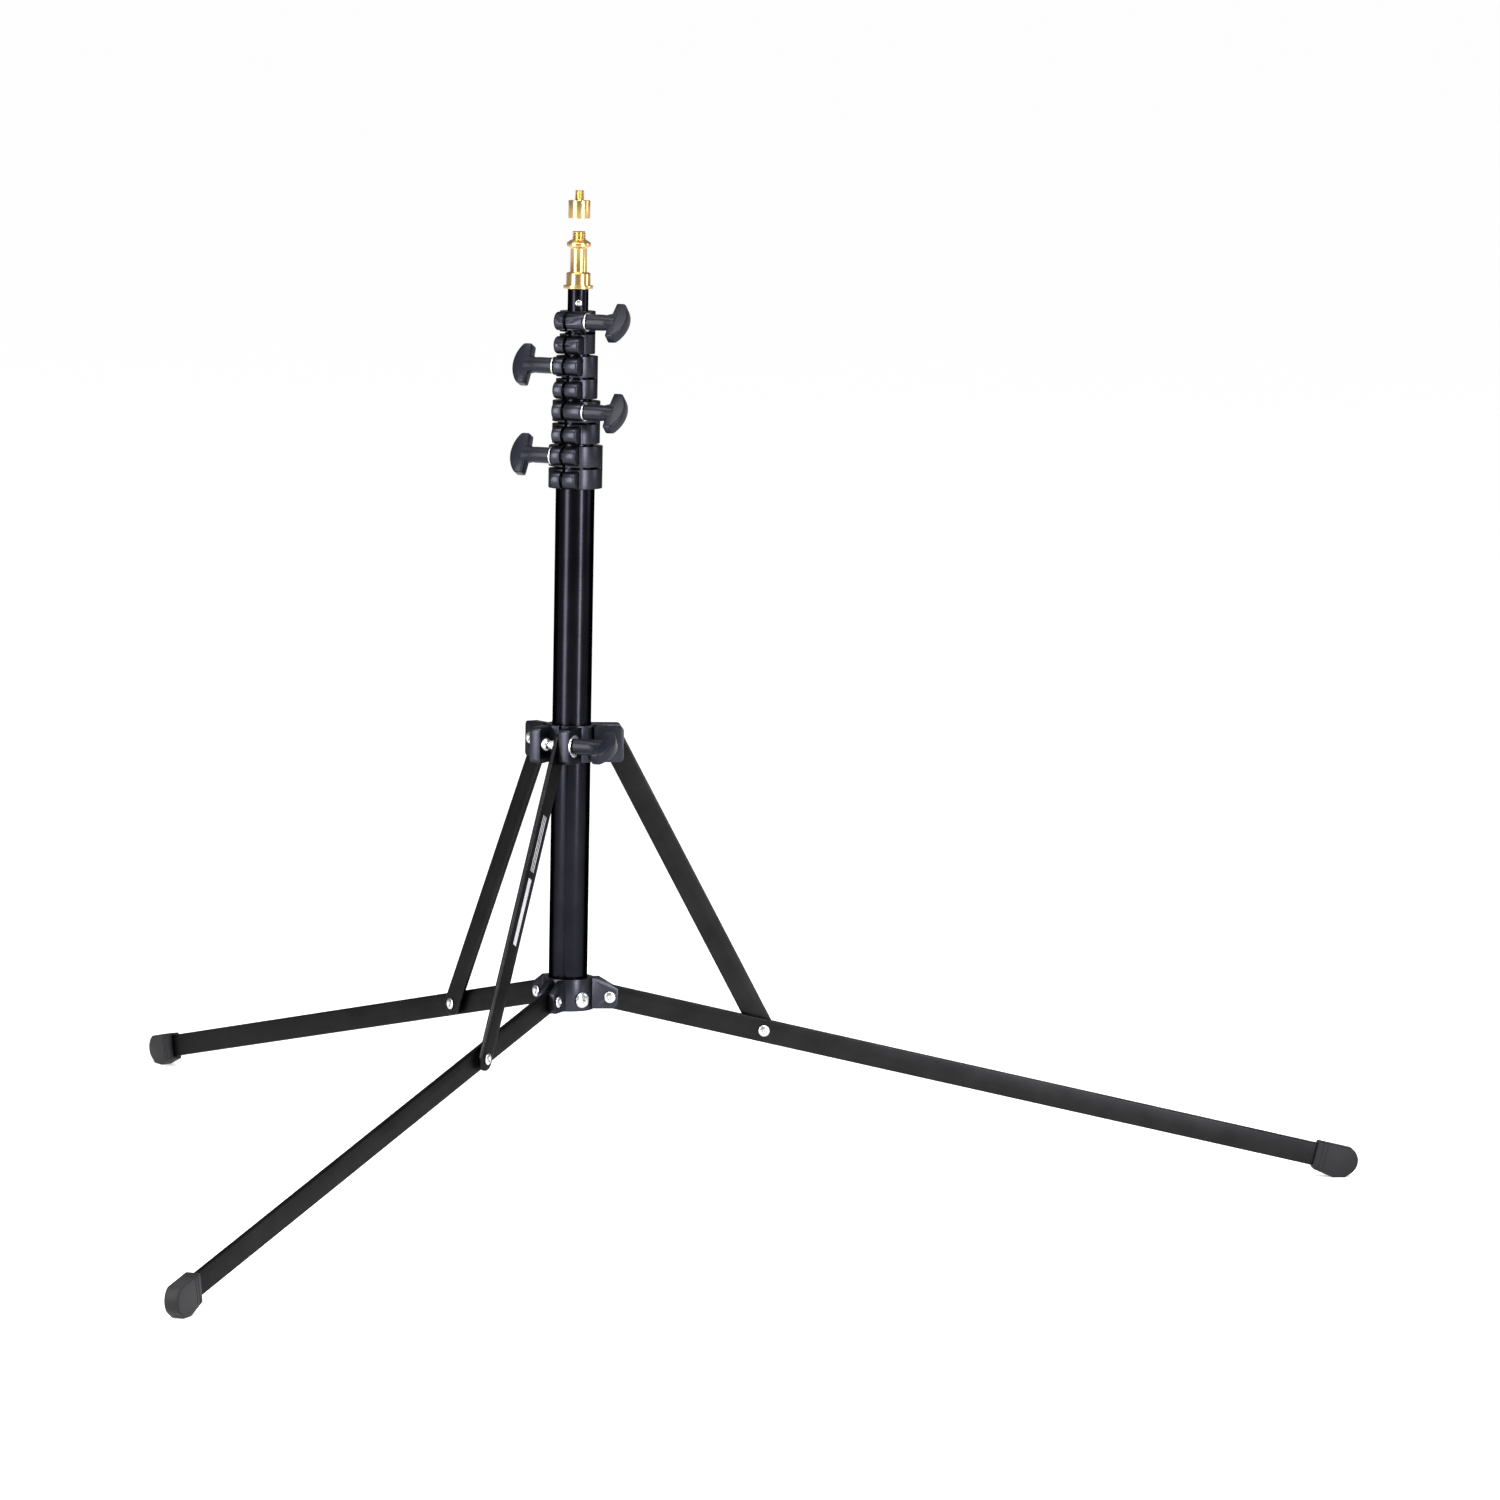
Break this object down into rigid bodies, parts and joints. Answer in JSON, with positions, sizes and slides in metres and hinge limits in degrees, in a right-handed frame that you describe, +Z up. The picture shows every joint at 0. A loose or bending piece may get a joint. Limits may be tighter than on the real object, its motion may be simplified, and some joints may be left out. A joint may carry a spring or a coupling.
{
  "type": "compact lighting stand",
  "caption": "Compact lighting stand: fold-up braced legs, a telescopic column with clamp knobs, and a brass spigot with a loose thread adapter.",
  "frame": {"origin": "on the floor, at the middle of the stand's footprint, 131 mm from the column's axis", "axes": "+Z up along the column; +X along the right leg; the rear and front legs stand 120 degrees to either side"},
  "size_m": [0.8032, 0.9272, 0.6522],
  "materials": {
    "black_anodised": "satin black",
    "black_casting": "fine textured black",
    "black_plastic": "moulded matte black",
    "rubber": "matte dark grey",
    "steel": "bright plated",
    "brass": "polished, turned",
    "nylon": "plain dark nylon"
  },
  "bodies": {
    "column": {"main_tube": "black_anodised", "column_plug": "nylon", "base_collar": "black_casting", "base_collar_screw": "steel", "leg_rivet_right": "steel", "leg_rivet_rear": "steel", "leg_rivet_front": "steel", "clamp_1": "black_casting", "clamp_screw_1": "steel"},
    "riser_body_1": {"riser_1": "black_anodised", "riser_bush_1": "nylon", "clamp_2": "black_casting", "clamp_screw_2": "steel"},
    "riser_body_2": {"riser_2": "black_anodised", "riser_bush_2": "nylon", "clamp_3": "black_casting", "clamp_screw_3": "steel"},
    "riser_body_3": {"riser_3": "black_anodised", "riser_bush_3": "nylon", "clamp_4": "black_casting", "clamp_screw_4": "steel"},
    "riser_body_4": {"riser_4": "black_anodised", "riser_bush_4": "nylon", "stud": "brass", "stud_pin": "steel"},
    "adapter_body": {"adapter": "brass"},
    "knob_body_1": {"clamp_knob_1": "black_plastic", "clamp_washer_1": "steel", "clamp_bolt_1": "steel"},
    "knob_body_2": {"clamp_knob_2": "black_plastic", "clamp_washer_2": "steel", "clamp_bolt_2": "steel"},
    "knob_body_3": {"clamp_knob_3": "black_plastic", "clamp_washer_3": "steel", "clamp_bolt_3": "steel"},
    "knob_body_4": {"clamp_knob_4": "black_plastic", "clamp_washer_4": "steel", "clamp_bolt_4": "steel"},
    "collar": {"slide_collar": "black_casting", "collar_nut": "steel", "brace_rivet_right": "steel", "brace_rivet_rear": "steel"},
    "collar_knob_body": {"collar_knob": "black_plastic", "collar_washer": "steel", "collar_bolt": "steel"},
    "leg_body_right": {"leg_right": "black_anodised", "foot_right": "rubber", "leg_pin_right": "steel"},
    "brace_body_right": {"brace_right": "black_anodised", "brace_pin_right": "steel"},
    "leg_body_rear": {"leg_rear": "black_anodised", "foot_rear": "rubber", "leg_pin_rear": "steel"},
    "brace_body_rear": {"brace_rear": "black_anodised", "brace_pin_rear": "steel"},
    "leg_body_front": {"leg_front": "black_anodised", "foot_front": "rubber", "leg_pin_front": "steel"},
    "brace_body_front": {"brace_front": "black_anodised", "brace_pin_front": "steel"}
  },
  "joints": [
    {"name": "collar_slide", "type": "slide", "parent": "column", "child": "collar", "axis": [0, 0, 1], "range_m": [0, 0.1545]},
    {"name": "leg_fold_right", "type": "hinge", "parent": "column", "child": "leg_body_right", "pos_m": [-0.10368, 0, 0.1216], "axis": [0, -1, 0], "range_deg": [0, 100]},
    {"name": "leg_fold_rear", "type": "hinge", "parent": "column", "child": "leg_body_rear", "pos_m": [-0.14493, 0.02382, 0.1216], "axis": [0.866, 0.5, 0], "range_deg": [0, 100]},
    {"name": "leg_fold_front", "type": "hinge", "parent": "column", "child": "leg_body_front", "pos_m": [-0.14493, -0.02382, 0.1216], "axis": [-0.866, 0.5, 0], "range_deg": [0, 100]},
    {"name": "brace_swing_right", "type": "hinge", "parent": "collar", "child": "brace_body_right", "pos_m": [-0.10368, 0, 0.2912], "axis": [0, 1, 0], "range_deg": [0, 27]},
    {"name": "brace_swing_rear", "type": "hinge", "parent": "collar", "child": "brace_body_rear", "pos_m": [-0.14493, 0.02382, 0.2912], "axis": [-0.866, -0.5, 0], "range_deg": [0, 27]},
    {"name": "brace_swing_front", "type": "hinge", "parent": "collar", "child": "brace_body_front", "pos_m": [-0.14493, -0.02382, 0.2912], "axis": [0.866, -0.5, 0], "range_deg": [0, 27]},
    {"name": "riser_slide_1", "type": "slide", "parent": "column", "child": "riser_body_1", "axis": [0, 0, 1], "range_m": [0, 0.3]},
    {"name": "riser_slide_2", "type": "slide", "parent": "riser_body_1", "child": "riser_body_2", "axis": [0, 0, 1], "range_m": [0, 0.3]},
    {"name": "riser_slide_3", "type": "slide", "parent": "riser_body_2", "child": "riser_body_3", "axis": [0, 0, 1], "range_m": [0, 0.3]},
    {"name": "riser_slide_4", "type": "slide", "parent": "riser_body_3", "child": "riser_body_4", "axis": [0, 0, 1], "range_m": [0, 0.3]},
    {"name": "clamp_knob_turn_1", "type": "hinge", "parent": "column", "child": "knob_body_1", "pos_m": [-0.14661, -0.01072, 0.4797], "axis": [-0.866, 0.5, 0], "range_deg": [0, 450]},
    {"name": "clamp_knob_turn_2", "type": "hinge", "parent": "riser_body_1", "child": "knob_body_2", "pos_m": [-0.12783, -0.02059, 0.50897], "axis": [0.866, -0.5, 0], "range_deg": [0, 450]},
    {"name": "clamp_knob_turn_3", "type": "hinge", "parent": "riser_body_2", "child": "knob_body_3", "pos_m": [-0.14576, -0.00925, 0.53824], "axis": [-0.866, 0.5, 0], "range_deg": [0, 450]},
    {"name": "clamp_knob_turn_4", "type": "hinge", "parent": "riser_body_3", "child": "knob_body_4", "pos_m": [-0.12698, -0.01911, 0.56751], "axis": [0.866, -0.5, 0], "range_deg": [0, 450]},
    {"name": "collar_knob_turn", "type": "hinge", "parent": "collar", "child": "collar_knob_body", "pos_m": [-0.13264, -0.03092, 0.2912], "axis": [0.866, -0.5, 0], "range_deg": [0, 450]},
    {"name": "adapter_lift", "type": "slide", "parent": "riser_body_4", "child": "adapter_body", "axis": [0, 0, 1], "range_m": [-0.0136, 0.01]}
  ],
  "couplings": [
    {"joint": "leg_fold_right", "follows": "collar_slide", "rad_per_m": 11.29},
    {"joint": "leg_fold_rear", "follows": "collar_slide", "rad_per_m": 11.29},
    {"joint": "leg_fold_front", "follows": "collar_slide", "rad_per_m": 11.29},
    {"joint": "brace_swing_right", "follows": "collar_slide", "rad_per_m": 3.0437},
    {"joint": "brace_swing_rear", "follows": "collar_slide", "rad_per_m": 3.0437},
    {"joint": "brace_swing_front", "follows": "collar_slide", "rad_per_m": 3.0437}
  ]
}
